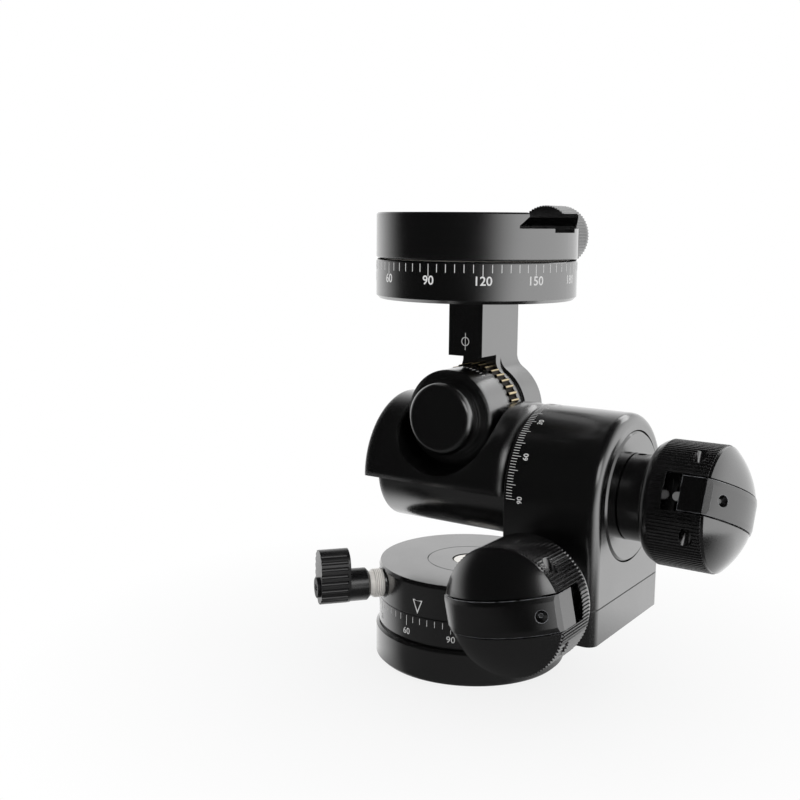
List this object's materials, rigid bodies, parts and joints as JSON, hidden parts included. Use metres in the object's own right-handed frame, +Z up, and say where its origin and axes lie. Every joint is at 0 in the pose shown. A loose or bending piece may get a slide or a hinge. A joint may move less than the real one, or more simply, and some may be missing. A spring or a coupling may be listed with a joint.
{
  "type": "geared tripod head",
  "caption": "Geared tripod head: panning base, worm-driven tilt axes turned by domed knobs with fold-out cranks, and a panning dovetail clamp on a neck.",
  "frame": {"origin": "centre of the base's underside, at the mouth of the tripod socket", "axes": "+Z up along the pan axis, +X along the front-to-back tilt axis towards the side knob, -Y to the front"},
  "size_m": [0.1275, 0.119, 0.1467],
  "materials": {
    "body_black": "satin black anodised",
    "knob_black": "satin black anodised",
    "crank_black": "satin black anodised",
    "steel": "turned",
    "dark_steel": "black oxide",
    "brass": "cut teeth",
    "bronze": "turned",
    "washer_polymer": "plain"
  },
  "bodies": {
    "base": {"base_drum": "body_black", "pan_scale_ring": "body_black", "tripod_insert": "steel", "pan_post": "steel", "pan_bolt": "steel", "thrust_washer": "washer_polymer", "base_screws": "steel"},
    "platform": {"platform": "body_black", "platform_cap": "body_black", "pan_bush": "bronze", "brake_shoe": "brass", "upright": "body_black", "upright_screws": "dark_steel", "spindle_bush": "bronze", "worm_bush_front": "bronze", "worm_bush_rear": "bronze"},
    "pan_lock": {"pan_lock_lever": "knob_black", "pan_lock_stud": "steel", "pan_lock_screw": "steel"},
    "cradle": {"cradle": "body_black", "spindle": "steel", "tilt_wheel": "brass", "end_disc": "body_black", "shaft_bush_inner": "bronze", "shaft_bush_outer": "bronze", "bearing_plug": "body_black", "pivot_axle": "steel", "pivot_cap_front": "body_black", "pivot_cap_rear": "body_black"},
    "front_knob": {"front_shaft": "steel", "front_worm": "steel", "front_knob": "knob_black", "front_knob_grub": "dark_steel", "front_crank_pin": "steel", "front_detent": "steel"},
    "front_crank": {"front_crank": "crank_black"},
    "side_knob": {"side_shaft": "steel", "side_worm": "steel", "side_knob": "knob_black", "side_knob_grub": "dark_steel", "side_crank_pin": "steel", "side_detent": "steel"},
    "side_crank": {"side_crank": "crank_black"},
    "neck": {"neck": "body_black", "neck_wheel": "brass", "neck_bush": "bronze", "clamp_scale_disc": "body_black", "neck_screws": "steel", "clamp_pivot": "steel", "clamp_washer": "washer_polymer"},
    "clamp": {"clamp_base": "body_black", "clamp_guides": "steel"},
    "jaw": {"clamp_jaw": "body_black"},
    "clamp_knob": {"clamp_knob": "knob_black", "clamp_screw": "steel"}
  },
  "joints": [
    {"name": "pan", "type": "hinge", "parent": "base", "child": "platform", "pos_m": [0, 0, 0.0203], "axis": [0, 0, 1], "continuous": true},
    {"name": "pan_lock_turn", "type": "hinge", "parent": "platform", "child": "pan_lock", "pos_m": [-0.02121, -0.02528, 0.0258], "axis": [-0.6428, -0.766, 0], "range_deg": [0, 120]},
    {"name": "tilt", "type": "hinge", "parent": "platform", "child": "cradle", "pos_m": [0, 0, 0.0606], "axis": [1, 0, 0], "range_deg": [-30, 90]},
    {"name": "front_drive", "type": "hinge", "parent": "platform", "child": "front_knob", "pos_m": [0.0393, 0, 0.0357], "axis": [0, 1, 0], "range_deg": [-4510, 1510]},
    {"name": "front_crank_fold", "type": "hinge", "parent": "front_knob", "child": "front_crank", "pos_m": [0.05302, -0.0449, 0.03849], "axis": [-0.1994, 0, 0.9799], "range_deg": [0, 90]},
    {"name": "side_tilt", "type": "hinge", "parent": "cradle", "child": "neck", "pos_m": [0, 0, 0.08075], "axis": [0, -1, 0], "range_deg": [-30, 30]},
    {"name": "side_drive", "type": "hinge", "parent": "cradle", "child": "side_knob", "pos_m": [0, 0, 0.0606], "axis": [1, 0, 0], "range_deg": [-1210, 1210]},
    {"name": "side_crank_fold", "type": "hinge", "parent": "side_knob", "child": "side_crank", "pos_m": [0.078, -0.01279, 0.06629], "axis": [0, -0.4067, -0.9135], "range_deg": [0, 90]},
    {"name": "clamp_pan", "type": "hinge", "parent": "neck", "child": "clamp", "pos_m": [0, 0, 0.1296], "axis": [0, 0, 1], "continuous": true},
    {"name": "jaw_slide", "type": "slide", "parent": "clamp", "child": "jaw", "axis": [0, 1, 0], "range_m": [0, 0.005]},
    {"name": "clamp_knob_turn", "type": "hinge", "parent": "jaw", "child": "clamp_knob", "pos_m": [0, 0.05, 0.1362], "axis": [0, 1, 0], "range_deg": [-10, 1450]}
  ],
  "couplings": [
    {"joint": "front_drive", "follows": "tilt", "ratio": -50},
    {"joint": "side_drive", "follows": "side_tilt", "ratio": -40},
    {"joint": "clamp_knob_turn", "follows": "jaw_slide", "rad_per_m": 5026.5}
  ]
}
